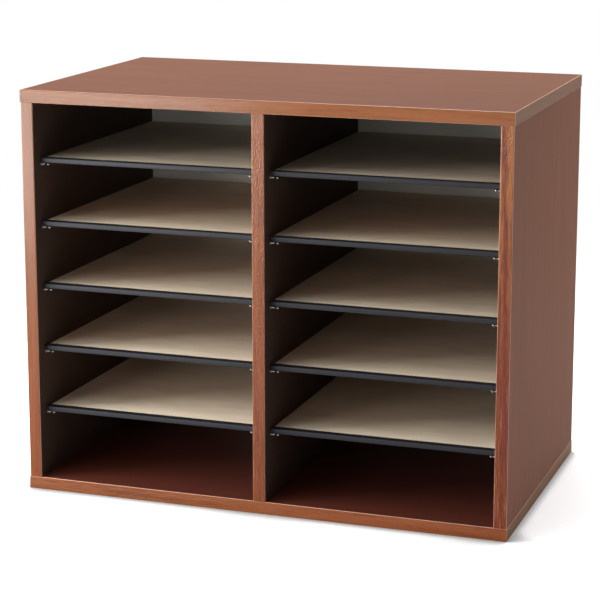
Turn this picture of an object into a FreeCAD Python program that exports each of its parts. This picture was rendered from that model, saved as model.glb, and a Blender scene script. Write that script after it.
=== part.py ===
import FreeCAD
import Part
import math
import os

# A desk-top literature organizer. A cabinet of melamine-faced particleboard is split by a
# centre divider into two bays. Each bay holds five hardboard shelves. A shelf rests on four
# metal pins, wears a black plastic moulding on its front edge and slides out forwards.
# Millimetres. X runs to the right, Y to the rear and Z up. The origin is on the floor,
# under the middle of the cabinet, so the front is at minus half the depth.

# The whole cabinet
cabinet_width = 498.5
cabinet_depth = 301.6
cabinet_height = 409.6
side_step = 0.6                 # the sides stand this far in from the ends of top and bottom

# Boards and the plastic bands on their edges
board_thickness = 12.7
band_thickness = 1.0
band_round = 0.8

# Back panel, let into a rebate all round
back_thickness = 3.2
rebate_width = 6.0
back_play = 0.3

# Glued dowels between the uprights and the top and bottom
dowels_per_joint = 3
dowel_diameter = 6.0
dowel_length = 25.0
dowel_depth_in_face = 8.0
dowel_end_margin = 40.0         # first and last dowel, from the front and from the rear
dowel_end_gap = 0.5
dowel_chamfer = 0.8
glue_gap = 0.1                  # round a dowel

# Small nails that hold the back panel
nails_across = 4
nails_up = 3
nail_shank_diameter = 1.6
nail_head_diameter = 3.6
nail_head_thickness = 0.6
nail_length = 16.0
nail_play = 0.1

# Shelf pins and the holes that they are pushed into
pin_diameter = 3.2
pin_collar_diameter = 4.6
pin_collar_thickness = 0.8
pin_reach = 8.0                 # from the wall to the tip
pin_tip_chamfer = 0.8
pin_seat = 5.5                  # length inside the board
pin_hole_depth = 8.0
pin_hole_play = 0.1
front_pin_setback = 17.0        # from the cabinet's front to the front pins
rear_pin_setback = 45.0         # from the back panel to the rear pins
lowest_pin_height = 65.0        # from the floor panel to the lowest pins

# Shelves
shelves_per_bay = 5
shelf_thickness = 3.2
shelf_end_play = 1.5            # to the wall at each end
shelf_back_gap = 3.5
shelf_setback = 12.5            # from the cabinet's front to the moulding's face
shelf_lift = 0.25               # running gap over the pins

# Moulding, a plastic channel pushed over the shelf's front edge
lip_depth = 10.0
lip_wall = 0.9
lip_tip = 0.5                   # the upper lip thins to this at its rear
face_wall = 1.3
face_round = 0.9
label_recess_height = 2.4
label_recess_depth = 0.4

# Flat sides that stand for the round ones of small pieces and their holes
pin_sides = 8
dowel_sides = 8
nail_sides = 6

# Planes that follow from these sizes
front = -cabinet_depth / 2
rear = cabinet_depth / 2
core_front = front + band_thickness
back_face = rear - back_thickness
end_face = cabinet_width / 2
core_end = end_face - band_thickness
side_outer = end_face - side_step
side_inner = side_outer - board_thickness
side_middle = (side_outer + side_inner) / 2
divider_face = board_thickness / 2
floor_face = board_thickness
ceiling_face = cabinet_height - board_thickness
inner_height = ceiling_face - floor_face

# Shelf places
bay_width = side_inner - divider_face
bay_middle = (side_inner + divider_face) / 2
shelf_pitch = inner_height / (shelves_per_bay + 1)
pin_heights = [floor_face + lowest_pin_height + step * shelf_pitch for step in range(shelves_per_bay)]
front_pins = front + front_pin_setback
rear_pins = back_face - rear_pin_setback
shelf_width = bay_width - 2 * shelf_end_play
shelf_front = front + shelf_setback
moulding_height = shelf_thickness + 2 * lip_wall

# The moulding's lower lip lifts the front of a shelf, so the shelf falls a little to the rear.
shelf_tilt = math.atan(lip_wall / (rear_pins - front_pins))

X_AXIS = FreeCAD.Vector(1, 0, 0)
Y_AXIS = FreeCAD.Vector(0, 1, 0)
Z_AXIS = FreeCAD.Vector(0, 0, 1)


def block(x_from, x_to, y_from, y_to, z_from, z_to):
    """A box between two values on each axis."""
    corner = FreeCAD.Vector(x_from, y_from, z_from)
    return Part.makeBox(x_to - x_from, y_to - y_from, z_to - z_from, corner)


def spread(first, last, count):
    """Evenly spaced values from first to last."""
    return [first + (last - first) * step / (count - 1) for step in range(count)]


def ring(sides, diameter, along):
    """Corners of a flat-sided ring round the Z axis, as wide over them as the round one."""
    radius = diameter / 2
    turns = [2 * math.pi * step / sides for step in range(sides + 1)]
    return [FreeCAD.Vector(radius * math.cos(turn), radius * math.sin(turn), along) for turn in turns]


def flat_face(*corners):
    """The flat face inside some corners, of which the last closes on the first."""
    return Part.Face(Part.makePolygon(corners))


def turned(sides, stages):
    """A turned piece on the Z axis. A stage is where it starts and ends, and its diameter at each."""
    pieces = []
    for begin, end, first_diameter, last_diameter in stages:
        low = ring(sides, first_diameter, begin)
        high = ring(sides, last_diameter, end)
        walls = [flat_face(low[n], low[n + 1], high[n + 1], high[n], low[n]) for n in range(sides)]
        pieces.append(Part.Solid(Part.Shell(walls + [flat_face(*low), flat_face(*high)])))
    return pieces[0].multiFuse(pieces[1:]).removeSplitter() if pieces[1:] else pieces[0]


def placed(piece, start, direction):
    """A copy of a turned piece, from a start point along a direction."""
    copy = piece.copy()
    copy.Placement = FreeCAD.Placement(FreeCAD.Vector(*start), FreeCAD.Rotation(Z_AXIS, direction))
    return copy


# Places of dowels, nails and pins

def dowel_places():
    """The places of the dowels in plan."""
    rows = spread(front + dowel_end_margin, rear - dowel_end_margin, dowels_per_joint)
    return [(x, y) for x in (-side_middle, 0, side_middle) for y in rows]


def nail_places():
    """The places of the nails in the back panel, seen from behind."""
    edge = rebate_width / 2
    reach = side_inner + edge
    columns = spread(-side_inner * 0.8, side_inner * 0.8, nails_across)
    rows = spread(floor_face + inner_height / 6, ceiling_face - inner_height / 6, nails_up)
    level = [(x, z) for x in columns for z in (floor_face - edge, ceiling_face + edge)]
    upright = [(x, z) for x in (-reach, 0, reach) for z in rows]
    return level + upright


def pin_places():
    """The depth and height of each pin on one wall."""
    return [(y, z) for z in pin_heights for y in (front_pins, rear_pins)]


# Tools that cut the holes

def nail_holes():
    """A hole for each nail, with a seat for its head flush with the cabinet's rear."""
    shank = nail_shank_diameter + 2 * nail_play
    head = nail_head_diameter + 2 * nail_play
    stages = [
        (0, nail_head_thickness, head, head),
        (nail_head_thickness, nail_length + nail_play, shank, shank),
    ]
    hole = turned(nail_sides, stages)
    return [placed(hole, (x, rear, z), -Y_AXIS) for x, z in nail_places()]


def dowel_holes(joint_face, upwards):
    """The dowel holes through one joint face, into the board and into the uprights."""
    into_face = dowel_depth_in_face + dowel_end_gap
    into_upright = dowel_length - dowel_depth_in_face + dowel_end_gap
    bottom = joint_face - (into_face if upwards else into_upright)
    bore = dowel_diameter + 2 * glue_gap
    hole = turned(dowel_sides, [(0, into_face + into_upright, bore, bore)])
    return [placed(hole, (x, y, bottom), Z_AXIS) for x, y in dowel_places()]


def pin_holes(wall, direction, depth):
    """The pin holes that are bored into one wall."""
    bore = pin_diameter + 2 * pin_hole_play
    hole = turned(pin_sides, [(0, depth, bore, bore)])
    return [placed(hole, (wall, y, z), direction) for y, z in pin_places()]


# Boards

def back_recess():
    """The space that the back panel's rebate takes out of the boards round it."""
    return block(
        -side_inner - rebate_width, side_inner + rebate_width,
        back_face, rear + 1,
        floor_face - rebate_width, ceiling_face + rebate_width)


def level_board(z_from, z_to):
    """Core of the top or the bottom, between its end bands."""
    return block(-core_end, core_end, core_front, rear, z_from, z_to)


def upright_board(x_from, x_to):
    """Core of a side or the divider, between the bottom and the top."""
    return block(x_from, x_to, core_front, rear, floor_face, ceiling_face)


def bored(board, holes):
    """A board with the back panel's rebate and its holes cut out."""
    return board.cut([back_recess()] + holes)


def top_panel():
    holes = dowel_holes(ceiling_face, False) + nail_holes()
    return bored(level_board(ceiling_face, cabinet_height), holes)


def bottom_panel():
    holes = dowel_holes(floor_face, True) + nail_holes()
    return bored(level_board(0, floor_face), holes)


def upright_holes():
    """Dowel and nail holes, for any upright."""
    return dowel_holes(floor_face, True) + dowel_holes(ceiling_face, False) + nail_holes()


def side_panel(side):
    """A side, to the left for -1 and to the right for 1, with blind pin holes."""
    faces = sorted((side * side_inner, side * side_outer))
    holes = pin_holes(side * side_inner, X_AXIS * side, pin_hole_depth)
    return bored(upright_board(*faces), holes + upright_holes())


def centre_divider():
    """The divider, whose pin holes go right through for the pins of both bays."""
    holes = pin_holes(-divider_face, X_AXIS, board_thickness)
    return bored(upright_board(-divider_face, divider_face), holes + upright_holes())


def back_panel():
    reach = rebate_width - back_play
    sheet = block(
        -side_inner - reach, side_inner + reach,
        back_face, rear,
        floor_face - reach, ceiling_face + reach)
    return sheet.cut(nail_holes())


# Edge bands

def rounded_where(strip, wanted):
    """A strip whose chosen edges are rounded."""
    edges = [edge for edge in strip.Edges if wanted(edge.BoundBox)]
    return strip.makeFillet(band_round, edges)


def level_front_band(z_from, z_to):
    """Front band of the top or bottom. It laps over the front ends of the end bands."""
    strip = block(-end_face, end_face, front, core_front, z_from, z_to)
    return rounded_where(strip, lambda box: box.Center.y < front + band_thickness / 4 and box.XLength > 1)


def level_end_band(side, z_from, z_to):
    """Band on the left or right end of the top or bottom, behind the front band."""
    ends = sorted((side * core_end, side * end_face))
    strip = block(*ends, core_front, rear, z_from, z_to)
    outer_edge = end_face - band_thickness / 4
    return rounded_where(strip, lambda box: abs(box.Center.x) > outer_edge and box.YLength > 1)


def upright_band(x_from, x_to):
    """Front band of a side or of the divider."""
    strip = block(x_from, x_to, front, core_front, floor_face, ceiling_face)
    return rounded_where(strip, lambda box: box.Center.y < front + band_thickness / 4 and box.ZLength > 1)


# Dowels, nails and pins

def dowel():
    """A wooden dowel with chamfered ends."""
    neck = dowel_diameter - 2 * dowel_chamfer
    shoulder = dowel_length - dowel_chamfer
    stages = [
        (0, dowel_chamfer, neck, dowel_diameter),
        (dowel_chamfer, shoulder, dowel_diameter, dowel_diameter),
        (shoulder, dowel_length, dowel_diameter, neck),
    ]
    return turned(dowel_sides, stages)


def nail():
    """A nail, from the top of its head."""
    stages = [
        (0, nail_head_thickness, nail_head_diameter, nail_head_diameter),
        (nail_head_thickness, nail_length, nail_shank_diameter, nail_shank_diameter),
    ]
    return turned(nail_sides, stages)


def shelf_pin():
    """A pin from the wall's face: a shank in the board, a collar on the wall and a chamfered peg."""
    shoulder = pin_reach - pin_tip_chamfer
    tip = pin_diameter - 2 * pin_tip_chamfer
    stages = [
        (-pin_seat, 0, pin_diameter, pin_diameter),
        (0, pin_collar_thickness, pin_collar_diameter, pin_collar_diameter),
        (pin_collar_thickness, shoulder, pin_diameter, pin_diameter),
        (shoulder, pin_reach, pin_diameter, tip),
    ]
    return turned(pin_sides, stages)


def dowel_row(lowest):
    """The dowels of the top or the bottom."""
    wood = dowel()
    return [placed(wood, (x, y, lowest), Z_AXIS) for x, y in dowel_places()]


def nail_row():
    """The nails round the back panel, with their heads flush with the cabinet's rear."""
    steel = nail()
    return [placed(steel, (x, rear, z), -Y_AXIS) for x, z in nail_places()]


def bay_pins(side):
    """All pins of one bay, pushed into both of its walls."""
    pin = shelf_pin()
    outer = [placed(pin, (side * side_inner, y, z), X_AXIS * -side) for y, z in pin_places()]
    inner = [placed(pin, (side * divider_face, y, z), X_AXIS * side) for y, z in pin_places()]
    return outer + inner


# Shelves

def seated(piece, side, pin_height):
    """A piece drawn with its moulding's face at Y 0 and underside at Z 0, laid on the pins."""
    piece.rotate(FreeCAD.Vector(0, front_pins - shelf_front, 0), X_AXIS, -math.degrees(shelf_tilt))
    underside = pin_height + pin_diameter / 2 + shelf_lift
    piece.translate(FreeCAD.Vector(side * bay_middle, shelf_front, underside))
    return piece


def shelf_board(side, pin_height):
    """The hardboard sheet, from the moulding's front wall to the back gap."""
    shelf_rear = back_face - shelf_back_gap - shelf_front
    sheet = block(
        -shelf_width / 2, shelf_width / 2,
        face_wall, shelf_rear,
        lip_wall, lip_wall + shelf_thickness)
    return seated(sheet, side, pin_height)


def moulding_outline():
    """The moulding's section in depth and height: a channel with a label recess in its face."""
    slot_floor = lip_wall
    slot_roof = lip_wall + shelf_thickness
    crown = moulding_height
    corner = face_round * (1 - math.sqrt(0.5))
    recess_low = (moulding_height - label_recess_height) / 2
    recess_high = (moulding_height + label_recess_height) / 2
    return [
        [(lip_depth, 0), (face_round, 0)],
        [(face_round, 0), (corner, corner), (0, face_round)],
        [(0, face_round), (0, recess_low)],
        [(0, recess_low), (label_recess_depth, recess_low)],
        [(label_recess_depth, recess_low), (label_recess_depth, recess_high)],
        [(label_recess_depth, recess_high), (0, recess_high)],
        [(0, recess_high), (0, crown - face_round)],
        [(0, crown - face_round), (corner, crown - corner), (face_round, crown)],
        [(face_round, crown), (lip_depth, slot_roof + lip_tip)],
        [(lip_depth, slot_roof + lip_tip), (lip_depth, slot_roof)],
        [(lip_depth, slot_roof), (face_wall, slot_roof)],
        [(face_wall, slot_roof), (face_wall, slot_floor)],
        [(face_wall, slot_floor), (lip_depth, slot_floor)],
        [(lip_depth, slot_floor), (lip_depth, 0)],
    ]


def shelf_moulding(side, pin_height):
    """The moulding, extruded over the shelf's width."""
    edges = []
    for item in moulding_outline():
        corners = [FreeCAD.Vector(-shelf_width / 2, y, z) for y, z in item]
        if len(corners) == 2:
            edges.append(Part.LineSegment(*corners).toShape())
        else:
            edges.append(Part.Arc(*corners).toShape())
    channel = Part.Face(Part.Wire(edges)).extrude(X_AXIS * shelf_width)
    return seated(channel, side, pin_height)


# All nodes

def cabinet_nodes():
    nodes = {}
    nodes["top_panel"] = top_panel()
    nodes["bottom_panel"] = bottom_panel()
    nodes["left_side_panel"] = side_panel(-1)
    nodes["right_side_panel"] = side_panel(1)
    nodes["centre_divider"] = centre_divider()
    nodes["back_panel"] = back_panel()
    for name, z_from, z_to in (("top", ceiling_face, cabinet_height), ("bottom", 0, floor_face)):
        nodes[name + "_front_band"] = level_front_band(z_from, z_to)
        nodes[name + "_left_band"] = level_end_band(-1, z_from, z_to)
        nodes[name + "_right_band"] = level_end_band(1, z_from, z_to)
    nodes["left_side_band"] = upright_band(-side_outer, -side_inner)
    nodes["right_side_band"] = upright_band(side_inner, side_outer)
    nodes["divider_band"] = upright_band(-divider_face, divider_face)
    return nodes


def fastener_nodes():
    nodes = {}
    nodes["bottom_dowels"] = dowel_row(floor_face - dowel_depth_in_face)
    nodes["top_dowels"] = dowel_row(ceiling_face + dowel_depth_in_face - dowel_length)
    nodes["back_nails"] = nail_row()
    nodes["left_bay_shelf_pins"] = bay_pins(-1)
    nodes["right_bay_shelf_pins"] = bay_pins(1)
    return nodes


def shelf_nodes():
    nodes = {}
    for side, bay in ((-1, "left"), (1, "right")):
        for number, pin_height in enumerate(reversed(pin_heights), start=1):
            nodes[f"{bay}_shelf_{number}"] = shelf_board(side, pin_height)
            nodes[f"{bay}_moulding_{number}"] = shelf_moulding(side, pin_height)
    return nodes


def save(name, shape):
    """One file per node. A node of several loose pieces is a group of solids."""
    if isinstance(shape, list):
        shape = Part.makeCompound(shape)
    if not shape.isValid():
        raise ValueError(name + " isn't a sound solid")
    shape.exportStep("parts/" + name + ".step")
    print(name, len(shape.Solids), "solids", round(shape.Volume / 1000, 3), "cubic cm")


def main():
    os.makedirs("parts", exist_ok=True)
    for nodes in (cabinet_nodes(), fastener_nodes(), shelf_nodes()):
        for name, shape in nodes.items():
            save(name, shape)


main()
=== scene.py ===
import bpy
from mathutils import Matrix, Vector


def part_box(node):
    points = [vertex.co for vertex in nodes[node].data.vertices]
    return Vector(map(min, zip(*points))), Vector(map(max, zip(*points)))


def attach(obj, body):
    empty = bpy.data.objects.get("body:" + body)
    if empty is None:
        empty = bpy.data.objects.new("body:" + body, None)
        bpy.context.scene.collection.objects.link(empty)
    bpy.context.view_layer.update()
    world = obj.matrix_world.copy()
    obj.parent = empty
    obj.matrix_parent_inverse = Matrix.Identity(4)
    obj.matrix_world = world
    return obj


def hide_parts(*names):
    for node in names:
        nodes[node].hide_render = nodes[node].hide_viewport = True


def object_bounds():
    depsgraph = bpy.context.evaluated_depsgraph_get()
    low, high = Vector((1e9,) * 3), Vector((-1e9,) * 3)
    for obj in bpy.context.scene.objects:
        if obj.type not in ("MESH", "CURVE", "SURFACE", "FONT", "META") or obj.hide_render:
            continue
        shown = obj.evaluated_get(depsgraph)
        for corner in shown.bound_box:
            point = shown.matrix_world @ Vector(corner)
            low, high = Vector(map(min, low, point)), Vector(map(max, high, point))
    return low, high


bl_info = {
    "name": "Literature Organizer Finishes",
    "version": (1, 0, 0),
    "blender": (4, 5, 0),
    "location": "3D View > Sidebar > Organizer",
    "description": "Cherry melamine boards, edge bands, hardboard shelves and black mouldings",
    "category": "Object",
}

import bpy
import math
import numpy as np

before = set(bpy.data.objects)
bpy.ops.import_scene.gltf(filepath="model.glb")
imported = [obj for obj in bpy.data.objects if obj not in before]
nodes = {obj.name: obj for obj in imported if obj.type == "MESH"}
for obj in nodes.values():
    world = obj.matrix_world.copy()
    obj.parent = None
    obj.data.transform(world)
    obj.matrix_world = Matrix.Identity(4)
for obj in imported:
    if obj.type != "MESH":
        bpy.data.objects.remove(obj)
cad_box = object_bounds()

MM = 0.001
WHITE = (1.0, 1.0, 1.0, 1.0)
BLACK = (0.0, 0.0, 0.0, 1.0)


# Colours and node trees

def linear(code):
    """An sRGB hex colour as linear red, green, blue and alpha, by the formula of the sRGB standard."""
    values = [int(code[place:place + 2], 16) / 255 for place in (1, 3, 5)]
    return tuple(v / 12.92 if v <= 0.04045 else ((v + 0.055) / 1.055) ** 2.4 for v in values) + (1.0,)


def scaled(colour, shares):
    """A colour whose red, green and blue are each multiplied by a share."""
    return [value * share for value, share in zip(colour, shares)] + [1.0]


def add(tree, kind, sockets=None, output=0, **settings):
    """Adds a node and gives one of its outputs. Settings are the node's properties, and sockets take a value
    or another node's output. In a colour Mix, socket 0 is the share of the second colour, 6 and 7 are the
    colours and output 2 is the mix. In a Map Range, socket 0 is the value, 1 and 2 are the range that it
    comes from, and 3 and 4 the one that it goes to, 0 to 1 where they aren't given."""
    made = tree.nodes.new("ShaderNode" + kind)
    for name, value in settings.items():
        setattr(made, name, value)
    for name, value in (sockets or {}).items():
        if isinstance(value, bpy.types.NodeSocket):
            tree.links.new(value, made.inputs[name])
        else:
            made.inputs[name].default_value = value
    return made.outputs[output] if made.outputs else None


def new_material(name):
    """An empty material and its node tree."""
    material = bpy.data.materials.new(name)
    material.use_nodes = True
    material.node_tree.nodes.clear()
    return material, material.node_tree


def coordinate(tree, source, axis):
    """One coordinate of a surface point, of its place where the source is Object, or of its Normal."""
    return add(tree, "SeparateXYZ", {0: add(tree, "TexCoord", output=source)}, axis)


def facing(tree, axis, sign):
    """1 on the faces that look along an axis in the sign's direction, and 0 on the others."""
    signed = add(tree, "Math", {0: coordinate(tree, "Normal", axis), 1: sign}, operation="MULTIPLY")
    return add(tree, "Math", {0: signed, 1: 0.5}, operation="GREATER_THAN")


def sized(tree, sizes, shift=(0, 0, 0)):
    """Object coordinates in which one unit is the given size in mm on each axis."""
    place = add(tree, "TexCoord", output="Object")
    scale = [1 / (size * MM) for size in sizes]
    return add(tree, "Mapping", {"Vector": place, "Scale": scale, "Location": shift})


def along(axis, length, width):
    """Pattern sizes in mm for a grain that runs along one axis."""
    return [length if name == axis else width for name in "XYZ"]


def cloud(tree, sizes, shift=(0, 0, 0), detail=2.0, roughness=0.5, distortion=0.0):
    """Soft noise from 0 to 1, in patches of the given sizes in mm."""
    return add(tree, "TexNoise", {
        "Vector": sized(tree, sizes, shift),
        "Scale": 1.0,
        "Detail": detail,
        "Roughness": roughness,
        "Distortion": distortion,
    })


def weighted(tree, value, weight, base):
    """A base value, moved up and down by a value around one half."""
    shifted = add(tree, "Math", {0: value, 1: -0.5}, operation="ADD")
    return add(tree, "Math", {0: shifted, 1: weight, 2: base}, operation="MULTIPLY_ADD")


# Materials

def pore_lines(tree, axis, shift):
    """Lines of pores along the grain, 1.1 mm wide. Real ones are finer, and would not show."""
    return cloud(tree, along(axis, 26, 1.1), shift, roughness=0.55)


def wood_print(tree, dark, middle, light, axis, figure, pores, shift):
    """Printed wood: a broad figure, lines of pores and short flecks, all drawn out along the grain. They
    move the tone from its middle towards dark or light, the flecks half as far as the lines."""
    broad = cloud(tree, along(axis, 130, 5), shift, distortion=0.5)
    flecks = cloud(tree, along(axis, 7, 0.7), shift, detail=1.0)
    tone = weighted(tree, broad, figure, 0.5)
    tone = weighted(tree, pore_lines(tree, axis, shift), pores, tone)
    tone = weighted(tree, flecks, pores * 0.5, tone)
    light_share = add(tree, "MapRange", {0: tone, 1: 0.4, 2: 1.0}, interpolation_type="SMOOTHSTEP")
    dark_share = add(tree, "MapRange", {0: tone, 1: 0.6, 2: 0.0}, interpolation_type="SMOOTHSTEP")
    lighter = add(tree, "Mix", {0: light_share, 6: middle, 7: light}, 2, data_type="RGBA")
    return add(tree, "Mix", {0: dark_share, 6: lighter, 7: dark}, 2, data_type="RGBA")


def chipboard(tree):
    """Raw particleboard on the boards' rear edges: pale and dark wood chips a millimetre or two long."""
    chips = add(tree, "TexVoronoi", {"Vector": sized(tree, (1.9, 1.9, 1.1)), "Scale": 1.0}, "Color")
    shade = add(tree, "RGBToBW", {"Color": chips})
    return add(tree, "Mix", {0: shade, 6: linear("#8A6A45"), 7: linear("#D3B487")}, 2, data_type="RGBA")


def melamine(name, axis, finish, inner_shade, figure, gloss, inward):
    """Melamine-faced particleboard. Its printed paper gives a dull, even cherry with faint lines. A painted
    shade darkens the faces inside the bays, which look inward, or all of them where inward is None. The rear
    edge is raw."""
    material, tree = new_material(name)
    colours = (finish.board_dark, finish.board, finish.board_light)
    pores = 0.25
    shift = (3.1, 1.7, 5.2)
    paper = wood_print(tree, *colours, axis, figure, pores, shift)
    # Painted shade: the faces inside the bays are multiplied by the shade colour
    inside = facing(tree, *inward) if inward else 1.0
    paper_with_painted_shade = add(tree, "Mix", {0: inside, 6: paper, 7: inner_shade}, 2, data_type="RGBA", blend_type="MULTIPLY")
    rear = cad_box[1].y - 0.1 * MM
    raw = add(tree, "Math", {0: coordinate(tree, "Object", "Y"), 1: rear}, operation="GREATER_THAN")
    surface = add(tree, "BsdfPrincipled", {
        "Base Color": add(tree, "Mix", {0: raw, 6: paper_with_painted_shade, 7: chipboard(tree)}, 2, data_type="RGBA"),
        "Roughness": 0.5,
        "Specular IOR Level": gloss,
        "Normal": add(tree, "Bump", {"Height": pore_lines(tree, axis, shift), "Distance": 0.01 * MM}),
    })
    add(tree, "OutputMaterial", {"Surface": surface})
    return material


def heart_line(tree, middle):
    """1 on the dark line in one band's print. The line would leave the floor 5.8 mm right of the band's
    middle, leans to the left as it rises, wanders, breaks into dashes and fades out near the floor."""
    start = 5.8 * MM
    lean = 0.0214
    wander = 7 * MM
    outer_half, inner_half = 3.4 * MM, 0.5 * MM
    faded, full = 55 * MM, 105 * MM
    height = coordinate(tree, "Object", "Z")
    leaning = {0: height, 1: lean, 2: coordinate(tree, "Object", "X")}
    upright = add(tree, "Math", leaning, operation="MULTIPLY_ADD")
    across = weighted(tree, cloud(tree, (5000, 5000, 40)), wander, upright)
    offset = add(tree, "Math", {0: across, 1: -middle - start}, operation="ADD")
    widths = {0: add(tree, "Math", {0: offset}, operation="ABSOLUTE"), 1: outer_half, 2: inner_half}
    line = add(tree, "MapRange", widths, interpolation_type="SMOOTHSTEP")
    breaks = {0: cloud(tree, (0.8, 0.8, 11), detail=1.0), 1: 0.3, 2: 0.55, 3: 0.35}
    dashes = add(tree, "MapRange", breaks, interpolation_type="SMOOTHSTEP")
    broken = add(tree, "Math", {0: line, 1: dashes}, operation="MULTIPLY")
    above = add(tree, "MapRange", {0: height, 1: faded, 2: full}, interpolation_type="SMOOTHSTEP")
    return add(tree, "Math", {0: broken, 1: above}, operation="MULTIPLY")


def trimmed_and_highlighted(tree, paper, trim_highlight, axis):
    """A band's print on the face that looks along an axis, and round the rounded edges a painted highlight
    in paler plastic.
    """
    turned = add(tree, "Math", {0: coordinate(tree, "Normal", axis)}, operation="ABSOLUTE")
    flat = add(tree, "MapRange", {0: turned, 1: 0.6, 2: 0.95}, interpolation_type="SMOOTHSTEP")
    return add(tree, "Mix", {0: flat, 6: trim_highlight, 7: paper}, 2, data_type="RGBA")


def edge_band(name, node, axis, finish, start, end, steady_mm, figure, pores, pit_mm, heart):
    """PVC edge band, glossier than the boards, printed with open-grained wood and embossed with its pores.
    The print's colour drifts from its start, where it is steady for some mm, to its end, mostly lighter and
    paler: painted light and sheen. Heart adds a dark line. Round the edges runs a painted highlight in paler
    plastic."""
    material, tree = new_material(name)
    low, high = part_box(node)
    number = "XYZ".index(axis)
    # Painted light and sheen: the colour grows lighter and paler from start to end along the band
    span = {0: coordinate(tree, "Object", axis), 1: low[number] + steady_mm * MM, 2: high[number]}
    painted_light_drift = add(tree, "MapRange", span, interpolation_type="SMOOTHSTEP")
    tones = {0: painted_light_drift, 6: scaled(finish.band, start), 7: scaled(finish.band, end)}
    middle = add(tree, "Mix", tones, 2, data_type="RGBA")
    # Bands in different places are cut from stretches of the print that lie apart.
    apart_x, apart_z = 7, 9
    shift = (low.x * apart_x, 0, low.z * apart_z)
    paper = wood_print(tree, finish.band_dark, middle, finish.band_light, axis, figure, pores, shift)
    if heart:
        line = heart_line(tree, (low.x + high.x) / 2)
        paper = add(tree, "Mix", {0: line, 6: paper, 7: finish.band_heart}, 2, data_type="RGBA")
    embossed = {0: cloud(tree, along(axis, 4, 1.1), shift, detail=1.0), 1: 0.65, 2: 0.45}
    pits = add(tree, "MapRange", embossed, interpolation_type="SMOOTHSTEP")
    surface = add(tree, "BsdfPrincipled", {
        "Base Color": trimmed_and_highlighted(tree, paper, finish.band_trim, "Y"),
        "Roughness": 0.22,
        "Specular IOR Level": 0.25,
        "Normal": add(tree, "Bump", {"Height": pits, "Distance": pit_mm * MM}),
    })
    add(tree, "OutputMaterial", {"Surface": surface})
    return material


def end_band(colour, trim_highlight):
    """PVC band on the ends of the top and bottom, duller than the front ones and almost without a print.
    Its edges carry the same painted highlight as the front bands'.
    """
    material, tree = new_material("end_pvc_band")
    streaks = {0: cloud(tree, along("Y", 40, 1.5)), 1: 0.3, 2: 0.7, 4: 0.1}
    share = add(tree, "MapRange", streaks, interpolation_type="SMOOTHSTEP")
    paper = add(tree, "Mix", {0: share, 6: colour, 7: trim_highlight}, 2, data_type="RGBA")
    surface = add(tree, "BsdfPrincipled", {
        "Base Color": trimmed_and_highlighted(tree, paper, trim_highlight, "X"),
        "Roughness": 0.45,
        "Specular IOR Level": 0.06,
    })
    add(tree, "OutputMaterial", {"Surface": surface})
    return material


def hardboard(name, bare, paint, cloudy, painted_side):
    """Hardboard with one smooth painted face, a little cloudy in patches of 15 to 48 mm. The other face is
    brown and flecked with fibres, and keeps the print of its 1.4 mm wire mesh."""
    material, tree = new_material(name)
    patches = {0: cloud(tree, (48, 15, 15), detail=3.0, roughness=0.6), 1: 0.3, 2: 0.7}
    patchy = add(tree, "MapRange", patches, interpolation_type="SMOOTHSTEP")
    painted = add(tree, "Mix", {0: patchy, 6: paint, 7: cloudy}, 2, data_type="RGBA")
    fibres = cloud(tree, (0.8, 0.8, 0.8), roughness=0.6)
    pale = add(tree, "MapRange", {0: fibres, 1: 0.3, 2: 0.7}, interpolation_type="SMOOTHSTEP")
    flecked = add(tree, "Mix", {0: pale, 6: bare, 7: linear("#946840")}, 2, data_type="RGBA")
    cells = {"Vector": sized(tree, (1.4, 1.4, 1.4)), "Scale": 1.0, "Randomness": 0.0}
    dents = {0: add(tree, "TexVoronoi", cells, "Distance"), 1: 0.35, 2: 0.7, 4: 0.5}
    meshed = add(tree, "MapRange", dents, interpolation_type="SMOOTHSTEP")
    brown = add(tree, "Mix", {0: meshed, 6: flecked, 7: bare}, 2, data_type="RGBA")
    side = facing(tree, *painted_side)
    surface = add(tree, "BsdfPrincipled", {
        "Base Color": add(tree, "Mix", {0: side, 6: brown, 7: painted}, 2, data_type="RGBA"),
        "Roughness": 0.6,
        "Specular IOR Level": 0.1,
        "Normal": add(tree, "Bump", {"Height": fibres, "Distance": 0.03 * MM}),
    })
    add(tree, "OutputMaterial", {"Surface": surface})
    return material


def moulded_black(colour):
    """Extruded black PVC. Fine draw lines along X, at most 1.5 times as light, and a soft gloss."""
    material, tree = new_material("black_pvc_moulding")
    lines = cloud(tree, (180, 0.5, 0.5))
    light = add(tree, "MapRange", {0: lines, 1: 0.3, 2: 0.7}, interpolation_type="SMOOTHSTEP")
    tones = {0: light, 6: colour, 7: scaled(colour, (1.5, 1.5, 1.5))}
    surface = add(tree, "BsdfPrincipled", {
        "Base Color": add(tree, "Mix", tones, 2, data_type="RGBA"),
        "Roughness": 0.38,
        "Specular IOR Level": 0.16,
        "Normal": add(tree, "Bump", {"Height": lines, "Distance": 0.01 * MM}),
    })
    add(tree, "OutputMaterial", {"Surface": surface})
    return material


def plated_metal(name, colour, roughness):
    """Nickel-plated or bright steel. Fine turning marks blur what it mirrors."""
    material, tree = new_material(name)
    marks = {0: cloud(tree, (0.3, 0.3, 0.3)), 1: 0.2, 2: 0.8, 3: roughness, 4: roughness + 0.1}
    surface = add(tree, "BsdfPrincipled", {
        "Base Color": colour,
        "Metallic": 1.0,
        "Roughness": add(tree, "MapRange", marks, interpolation_type="SMOOTHSTEP"),
    })
    add(tree, "OutputMaterial", {"Surface": surface})
    return material


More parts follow.
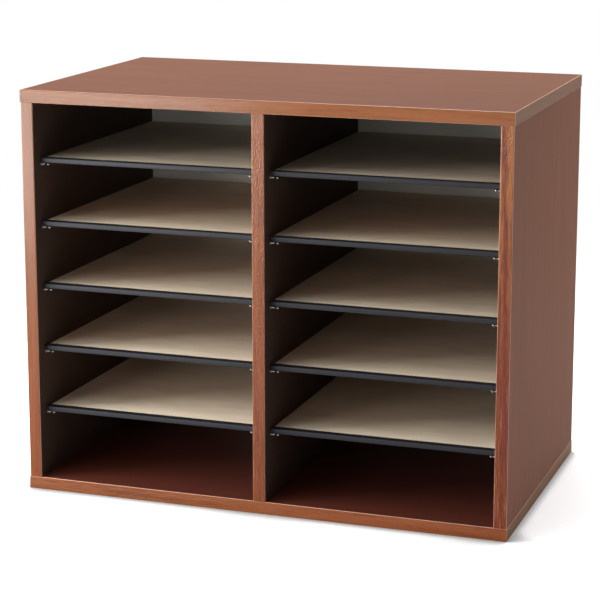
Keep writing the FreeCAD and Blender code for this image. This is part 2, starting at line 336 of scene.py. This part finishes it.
def turned_beech():
    """Beech dowel. Pale wood with short darker flecks along Z."""
    material, tree = new_material("beech_dowel")
    flecks = {0: cloud(tree, (0.5, 0.5, 5), detail=3.0), 1: 0.4, 2: 0.7}
    dark = add(tree, "MapRange", flecks, interpolation_type="SMOOTHSTEP")
    tones = {0: dark, 6: linear("#D9B98C"), 7: linear("#A9804F")}
    surface = add(tree, "BsdfPrincipled", {
        "Base Color": add(tree, "Mix", tones, 2, data_type="RGBA"),
        "Roughness": 0.65,
    })
    add(tree, "OutputMaterial", {"Surface": surface})
    return material


# Settings

def colour_setting(name, description, code):
    """A colour that the user can change, from an sRGB hex value."""
    return bpy.props.FloatVectorProperty(
        name=name, description=description, subtype="COLOR", size=4, min=0, max=1, default=linear(code))


class OrganizerFinish(bpy.types.PropertyGroup):
    """Colours of the organizer's finishes."""

    board: colour_setting("Board", "Middle colour of the melamine's printed grain", "#764F3F")
    board_dark: colour_setting("Board lines", "Dark lines in the melamine's grain", "#6C493A")
    board_light: colour_setting("Board light", "Light figure in the melamine's grain", "#7F5645")
    # Painted shade: darkens the melamine inside the bays and takes out some of its red
    inside: colour_setting("Inside", "Tint of the melamine inside the bays", "#A2BCC8")
    # Painted shade: darkens and reddens the bottom panel's top face, the floor of the lowest bays
    base: colour_setting("Base", "Tint of the melamine under the lowest bays", "#A98280")
    band: colour_setting("Band", "Middle colour of the edge bands", "#6A3613")
    band_dark: colour_setting("Band lines", "Dark lines in the edge bands", "#441E0B")
    band_heart: colour_setting("Band heart", "Dark line in the right band's print", "#5A1C10")
    band_light: colour_setting("Band light", "Light figure in the edge bands", "#7C482B")
    # Painted highlight along the bands' rounded edges, in paler plastic
    band_trim: colour_setting("Band trim", "Plain plastic at the bands' trimmed edges", "#B98F79")
    band_end: colour_setting("End bands", "Bands at the ends of the top and bottom", "#633C1D")
    shelf: colour_setting("Shelf", "Painted top of the shelves", "#EFE0C7")
    back: colour_setting("Back", "Painted front of the back panel", "#EFEDE5")
    hardboard: colour_setting("Hardboard", "Bare side of the hardboard", "#7A5233")
    moulding: colour_setting("Moulding", "Black plastic of the mouldings", "#19191D")
    nickel: colour_setting("Nickel", "Plating of the shelf pins", "#7E7A74")


class OrganizerPins(bpy.types.PropertyGroup):
    """Sizes of the turned shelf pins."""

    diameter: bpy.props.FloatProperty(
        name="Peg diameter", description="Thickness of the peg", default=3.2 * MM, min=MM, unit="LENGTH")
    collar: bpy.props.FloatProperty(
        name="Collar diameter", description="Width of the collar on the wall",
        default=4.6 * MM, min=MM, unit="LENGTH")
    collar_thickness: bpy.props.FloatProperty(
        name="Collar thickness", description="How far the collar stands off the wall",
        default=0.8 * MM, min=0.1 * MM, unit="LENGTH")
    reach: bpy.props.FloatProperty(
        name="Reach", description="From the wall to the peg's tip", default=9.0 * MM, min=MM, unit="LENGTH")
    seat: bpy.props.FloatProperty(
        name="Seat", description="Length inside the board", default=5.5 * MM, min=MM, unit="LENGTH")


def lamp_setting(name, description, power):
    """A lamp's power in watts."""
    return bpy.props.FloatProperty(name=name, description=description, default=power, min=0, unit="POWER")


class OrganizerStudio(bpy.types.PropertyGroup):
    """Camera and lights."""

    lens: bpy.props.FloatProperty(
        name="Lens", description="Focal length on a 36 mm sensor", default=122.7, min=10, unit="CAMERA")
    low_key: lamp_setting("Low key", "Small softbox at the front left, level with the object", 10.6)
    key: lamp_setting("Key", "Softbox at the left", 31.0)
    high_key: lamp_setting("High key", "Raised softbox at the left", 5.7)
    high_front: lamp_setting("High front", "Softbox high at the front", 7.5)
    fill: lamp_setting("Fill", "Softbox at the front left, halfway up", 2.2)
    front_fill: lamp_setting("Front fill", "Softbox at the front", 2.1)
    right_rear: lamp_setting("Right rear", "Softbox behind, at the right", 14.2)
    overhead: lamp_setting("Overhead", "Softbox above and behind", 28.2)
    ambient: bpy.props.FloatProperty(
        name="Ambient", description="Strength of the even light from all round", default=0.0, min=0)


# CAD nodes and pieces

def shelf_nodes():
    """Names of the ten shelves."""
    return [node for node in nodes if "_shelf_" in node and not node.endswith("pins")]


def dress(node, material):
    """Gives each of a CAD node's slots the material."""
    for holder in nodes[node].material_slots:
        holder.material = material


def add_piece(name, mesh, material, body, replaced):
    """Links a mesh to the scene with its material, hangs it on the body that it rides on, and hides the node
    that it stands for.
    """
    piece = bpy.data.objects.new(name, mesh)
    bpy.context.scene.collection.objects.link(piece)
    mesh.materials.append(material)
    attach(piece, body)
    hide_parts(replaced)


# Turned pins

def pin_outline(pins):
    """Outline of a pin as (distance from the wall, radius). The collar's edges are rounded, and the peg
    narrows to a neck before its ball-shaped head. A round stretch is an arc: its centre plus its radius
    times the sine and cosine of the turn."""
    radius = pins.diameter / 2
    collar = pins.collar / 2
    neck = 0.68 * radius
    edge = 0.25 * MM
    edge_points, head_points = 7, 10
    quarter = np.linspace(0, math.pi / 2, edge_points)
    sine, cosine = edge * np.sin(quarter), edge * np.cos(quarter)
    start = [(-pins.seat, 0), (-pins.seat, radius), (0, radius), (0, collar - edge)]
    rim = np.stack([edge - cosine, collar - edge + sine], 1)
    rim_end = np.stack([pins.collar_thickness - edge + sine, collar - edge + cosine], 1)
    opening = math.acos(neck / radius)
    around = np.linspace(-opening, math.pi / 2, head_points)
    head = np.stack([pins.reach - radius + radius * np.sin(around), radius * np.cos(around)], 1)
    return np.concatenate([start, rim, rim_end, [(pins.collar_thickness, neck)], head])


def pin_places(node, pins, rows):
    """Wall, depth, height and direction of each pin of a bay, from the box of its CAD node. The direction
    is 1 for a pin that points to the right."""
    low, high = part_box(node)
    half = pins.collar / 2
    heights = np.linspace(low.z + half, high.z - half, rows)
    depths = (low.y + half, high.y - half)
    walls = ((low.x + pins.seat, 1), (high.x - pins.seat, -1))
    return [(wall, y, z, sign) for wall, sign in walls for y in depths for z in heights]


def pin_mesh(name, places, outline, turns=20):
    """Each outline is spun about its pin's axis: a point lies at the wall plus its distance along X,
    and at its radius times the sine and cosine of the turn across it."""
    angles = np.linspace(0, 2 * math.pi, turns, endpoint=False)
    distance, radius = outline[:, 0], outline[:, 1]
    rows = len(outline)
    ring, turn = np.meshgrid(np.arange(rows - 1), np.arange(turns), indexing="ij")
    after = (turn + 1) % turns
    quads = np.stack([ring * turns + turn, (ring + 1) * turns + turn,
                      (ring + 1) * turns + after, ring * turns + after], -1).reshape(-1, 4)
    points, faces = [], []
    for number, (wall, y, z, sign) in enumerate(places):
        x = wall + sign * np.repeat(distance, turns)
        across = np.outer(radius, np.cos(angles)).ravel() * sign
        up = np.outer(radius, np.sin(angles)).ravel()
        points.append(np.stack([x, y + across, z + up], 1))
        faces.append(quads + number * rows * turns)
    mesh = bpy.data.meshes.new(name)
    mesh.from_pydata(np.concatenate(points).tolist(), [], np.concatenate(faces).tolist())
    mesh.validate()
    return mesh


# Stage

def seen_directly(tree):
    """1 for rays from the camera, or through gloss or glass, and 0 for rays that light the object."""
    camera = add(tree, "LightPath", output="Is Camera Ray")
    gloss = add(tree, "LightPath", output="Is Glossy Ray")
    glass = add(tree, "LightPath", output="Is Transmission Ray")
    first = add(tree, "Math", {0: camera, 1: gloss}, operation="MAXIMUM")
    return add(tree, "Math", {0: first, 1: glass}, operation="MAXIMUM")


def contact_shade(tree):
    """What the floor keeps of its brightness near the object, 1 in the open. The shade is darker in front
    of the object than round the rest of it, and reaches further out."""
    front_reach, rest_reach = 90 * MM, 12 * MM
    front_darkest, rest_darkest = 0.25, 0.42
    front_end, rest_start = cad_box[0].y - 30 * MM, cad_box[0].y + 40 * MM
    depth = {0: coordinate(tree, "Object", "Y"), 1: front_end, 2: rest_start}
    reach = add(tree, "MapRange", depth | {3: front_reach, 4: rest_reach}, interpolation_type="SMOOTHSTEP")
    levels = depth | {3: front_darkest, 4: rest_darkest}
    darkest = add(tree, "MapRange", levels, interpolation_type="SMOOTHSTEP")
    openness = add(tree, "AmbientOcclusion", {"Distance": reach}, "AO", samples=16)
    return add(tree, "MapRange", {0: openness, 1: 0.5, 2: 1.0, 3: darkest}, interpolation_type="SMOOTHSTEP")


def white_floor():
    """Matt white paper, lifted by a light of its own that falls on nothing else. It keeps shadows near the
    object, darkest where the two meet, and further out it fades to pure white."""
    own_light = 0.55
    fade_from, fade_to = 0.6, 1.6
    material, tree = new_material("white_paper_floor")
    seen = seen_directly(tree)
    contact = contact_shade(tree)
    lift = add(tree, "Math", {0: seen, 1: own_light}, operation="MULTIPLY")
    glow = add(tree, "Math", {0: lift, 1: contact}, operation="MULTIPLY")
    colour = add(tree, "Mix", {0: contact, 6: BLACK, 7: linear("#E6E6E6")}, 2, data_type="RGBA")
    paper = add(tree, "BsdfDiffuse", {"Color": colour})
    near = add(tree, "AddShader", {0: paper, 1: add(tree, "Emission", {"Color": WHITE, "Strength": glow})})
    far = add(tree, "Emission", {"Color": WHITE, "Strength": 1.0})
    place = add(tree, "TexCoord", output="Object")
    distance = add(tree, "VectorMath", {0: place}, "Value", operation="LENGTH")
    outside = add(tree, "MapRange", {0: distance, 1: fade_from, 2: fade_to}, interpolation_type="SMOOTHSTEP")
    share = add(tree, "Math", {0: outside, 1: seen}, operation="MULTIPLY")
    add(tree, "OutputMaterial", {"Surface": add(tree, "MixShader", {0: share, 1: near, 2: far})})
    return material


def add_floor():
    """A flat square that goes far past the camera's view."""
    half = 6.0
    corners = [(-half, -half, 0), (half, -half, 0), (half, half, 0), (-half, half, 0)]
    mesh = bpy.data.meshes.new("floor")
    mesh.from_pydata(corners, [], [(0, 1, 2, 3)])
    mesh.materials.append(white_floor())
    floor = bpy.data.objects.new("floor", mesh)
    bpy.context.scene.collection.objects.link(floor)


def softbox(name, power, width, height, azimuth, elevation, distance):
    """An area light that looks at the object's middle. Azimuth 0 is in front, 90 to the right."""
    lamp = bpy.data.lights.new(name, "AREA")
    lamp.energy = power
    lamp.shape = "RECTANGLE"
    lamp.size = width
    lamp.size_y = height
    light = bpy.data.objects.new(name, lamp)
    turn, rise = math.radians(azimuth), math.radians(elevation)
    middle = (cad_box[0] + cad_box[1]) / 2
    light.location = (
        middle.x + distance * math.sin(turn) * math.cos(rise),
        middle.y - distance * math.cos(turn) * math.cos(rise),
        middle.z + distance * math.sin(rise))
    light.rotation_euler = (math.pi / 2 - rise, 0, turn)
    bpy.context.scene.collection.objects.link(light)
    return light


def flag(light, shaded_nodes):
    """Keeps a lamp off some nodes, as a studio's black flag does."""
    shaded = bpy.data.collections.new(light.name + "_flag")
    for node in shaded_nodes:
        shaded.objects.link(nodes[node])
    for member in shaded.collection_objects:
        member.light_linking.link_state = "EXCLUDE"
    light.light_linking.receiver_collection = shaded


def add_world(ambient):
    """A world that looks white and lights the object only with the ambient strength."""
    world = bpy.data.worlds.new("studio")
    bpy.context.scene.world = world
    world.use_nodes = True
    tree = world.node_tree
    tree.nodes.clear()
    strengths = {0: seen_directly(tree), 3: ambient, 4: 1.0}
    level = add(tree, "MapRange", strengths, interpolation_type="SMOOTHSTEP")
    backdrop = add(tree, "Background", {"Color": WHITE, "Strength": level})
    add(tree, "OutputWorld", {"Surface": backdrop})


def add_camera(lens):
    """The photograph's camera. Its place is in metres, and it looks down by the tilt and left by the turn,
    in degrees."""
    tilt, turn = 11.554, 19.057
    camera = bpy.data.objects.new("camera", bpy.data.cameras.new("camera"))
    camera.data.lens = lens
    camera.data.sensor_width = 36.0
    camera.data.shift_y = -0.0992
    camera.location = (0.6644, -1.9508, 0.6669)
    camera.rotation_euler = (math.radians(90 - tilt), 0, math.radians(turn))
    bpy.context.scene.collection.objects.link(camera)
    bpy.context.scene.camera = camera


# Operators

class ORGANIZER_OT_boards(bpy.types.Operator):
    """Dresses the melamine boards"""

    bl_idname = "organizer.boards"
    bl_label = "Boards"

    def execute(self, context):
        finish = context.scene.organizer_finish
        # Node, grain, painted shade of its inner face, figure, gloss and the inner face's direction
        boards = (
            ("top_panel", "X", finish.inside, 1.3, 0.01, ("Z", -1)),
            ("bottom_panel", "X", finish.base, 0.8, 0.12, ("Z", 1)),
            ("left_side_panel", "Z", finish.inside, 0.4, 0.12, ("X", 1)),
            ("right_side_panel", "Z", finish.inside, 0.8, 0.01, ("X", -1)),
            ("centre_divider", "Z", finish.inside, 0.4, 0.12, None))
        for node, axis, *look in boards:
            dress(node, melamine(node + "_melamine", axis, finish, *look))
        return {"FINISHED"}


class ORGANIZER_OT_bands(bpy.types.Operator):
    """Dresses the edge bands"""

    bl_idname = "organizer.bands"
    bl_label = "Edge bands"

    def execute(self, context):
        finish = context.scene.organizer_finish
        # Band, grain, shares of its colour at start and end as painted light and sheen, steady mm, figure,
        # pores, pit depth in mm
        prints = (
            ("top_front", "X", (0.88, 1.07, 0.9), (1.36, 1.55, 1.5), 0, 0.7, 0.6, 0.035),
            ("bottom_front", "X", (1.02, 1.08, 1.3), (1.36, 1.3, 1.5), 0, 0.7, 0.6, 0.08),
            ("left_side", "Z", (0.8, 0.7, 0.5), (0.83, 1.1, 1.5), 60, 0.4, 0.3, 0.03),
            ("divider", "Z", (0.88, 0.72, 0.6), (1.1, 1.15, 1.15), 60, 0.6, 0.9, 0.15),
            ("right_side", "Z", (0.85, 0.45, 0.25), (1.8, 2.4, 2.8), 120, 1.2, 1.3, 0.1))
        for name, axis, *pattern in prints:
            node = name + "_band"
            heart = name == "right_side"
            dress(node, edge_band(name + "_pvc_band", node, axis, finish, *pattern, heart))
        ends = end_band(finish.band_end, finish.band_trim)
        for node in ("top_left_band", "top_right_band", "bottom_left_band", "bottom_right_band"):
            dress(node, ends)
        return {"FINISHED"}


class ORGANIZER_OT_back(bpy.types.Operator):
    """Dresses the back panel and its nails"""

    bl_idname = "organizer.back"
    bl_label = "Back panel"

    def execute(self, context):
        finish = context.scene.organizer_finish
        cloudy = linear("#E7E6DD")
        board = hardboard("painted_hardboard_back", finish.hardboard, finish.back, cloudy, ("Y", -1))
        dress("back_panel", board)
        dress("back_nails", plated_metal("bright_steel_nail", linear("#B9B9B6"), 0.35))
        return {"FINISHED"}


class ORGANIZER_OT_shelves(bpy.types.Operator):
    """Dresses the ten shelves and their mouldings"""

    bl_idname = "organizer.shelves"
    bl_label = "Shelves and mouldings"

    def execute(self, context):
        finish = context.scene.organizer_finish
        cloudy = linear("#E4D6BE")
        board = hardboard("painted_hardboard_shelf", finish.hardboard, finish.shelf, cloudy, ("Z", 1))
        plastic = moulded_black(finish.moulding)
        for node in shelf_nodes():
            dress(node, board)
        for node in nodes:
            if "_moulding_" in node:
                dress(node, plastic)
        return {"FINISHED"}


class ORGANIZER_OT_pins(bpy.types.Operator):
    """Makes the turned pins that the shelves rest on"""

    bl_idname = "organizer.pins"
    bl_label = "Shelf pins"

    def execute(self, context):
        finish = context.scene.organizer_finish
        pins = context.scene.organizer_pins
        metal = plated_metal("nickel_plated_pin", finish.nickel, 0.22)
        outline = pin_outline(pins)
        for bay in ("left", "right"):
            node = bay + "_bay_shelf_pins"
            rows = sum(name.startswith(bay + "_moulding_") for name in nodes)
            mesh = pin_mesh(bay + "_bay_turned_pins", pin_places(node, pins, rows), outline)
            mesh.shade_smooth()
            add_piece(bay + "_bay_turned_pins", mesh, metal, "cabinet", node)
        return {"FINISHED"}


class ORGANIZER_OT_dowels(bpy.types.Operator):
    """Dresses the beech dowels inside the joints"""

    bl_idname = "organizer.dowels"
    bl_label = "Dowels"

    def execute(self, context):
        wood = turned_beech()
        for node in ("bottom_dowels", "top_dowels"):
            dress(node, wood)
        return {"FINISHED"}


class ORGANIZER_OT_stage(bpy.types.Operator):
    """Sets up the floor, the soft studio light and the camera"""

    bl_idname = "organizer.stage"
    bl_label = "Stage"

    def execute(self, context):
        studio = context.scene.organizer_studio
        add_floor()
        # Setting, width and height in m, azimuth and elevation in degrees, distance in m, nodes it misses
        softboxes = (
            ("low_key", 0.6, 0.43, -32, 1, 1.43, []),
            ("key", 0.6, 0.6, -60, 8, 1.4, ["left_side_panel"]),
            ("high_key", 0.6, 0.6, -75, 40, 1.4, []),
            ("high_front", 1.0, 1.0, -30, 60, 1.7, []),
            ("fill", 0.6, 0.6, -35, 32, 1.4, []),
            ("front_fill", 0.6, 0.6, 0, 10, 1.4, []),
            ("right_rear", 1.0, 1.0, 120, 10, 1.7, []),
            ("overhead", 1.0, 1.0, 180, 60, 1.7, shelf_nodes()))
        for name, *place, shaded in softboxes:
            light = softbox(name + "_softbox", getattr(studio, name), *place)
            if shaded:
                flag(light, shaded)
        add_world(studio.ambient)
        add_camera(studio.lens)
        context.scene.view_settings.view_transform = "Standard"
        return {"FINISHED"}


# Panel and registration

class ORGANIZER_PT_panel(bpy.types.Panel):
    """Buttons and settings of the organizer"""

    bl_idname = "ORGANIZER_PT_panel"
    bl_label = "Literature organizer"
    bl_space_type = "VIEW_3D"
    bl_region_type = "UI"
    bl_category = "Organizer"

    def draw(self, context):
        scene = context.scene
        for operator in OPERATORS:
            self.layout.operator(operator.bl_idname)
        for group in (scene.organizer_finish, scene.organizer_pins, scene.organizer_studio):
            box = self.layout.box()
            for name in group.__annotations__:
                box.prop(group, name)


OPERATORS = (
    ORGANIZER_OT_boards,
    ORGANIZER_OT_bands,
    ORGANIZER_OT_back,
    ORGANIZER_OT_shelves,
    ORGANIZER_OT_pins,
    ORGANIZER_OT_dowels,
    ORGANIZER_OT_stage,
)
GROUPS = (OrganizerFinish, OrganizerPins, OrganizerStudio)


def register():
    for group in GROUPS + OPERATORS + (ORGANIZER_PT_panel,):
        bpy.utils.register_class(group)
    bpy.types.Scene.organizer_finish = bpy.props.PointerProperty(type=OrganizerFinish)
    bpy.types.Scene.organizer_pins = bpy.props.PointerProperty(type=OrganizerPins)
    bpy.types.Scene.organizer_studio = bpy.props.PointerProperty(type=OrganizerStudio)


def unregister():
    for name in ("organizer_finish", "organizer_pins", "organizer_studio"):
        delattr(bpy.types.Scene, name)
    for group in reversed(GROUPS + OPERATORS + (ORGANIZER_PT_panel,)):
        bpy.utils.unregister_class(group)


def main():
    register()
    for operator in OPERATORS:
        family, name = operator.bl_idname.split(".")
        getattr(getattr(bpy.ops, family), name)()


if __name__ == "__main__":
    main()
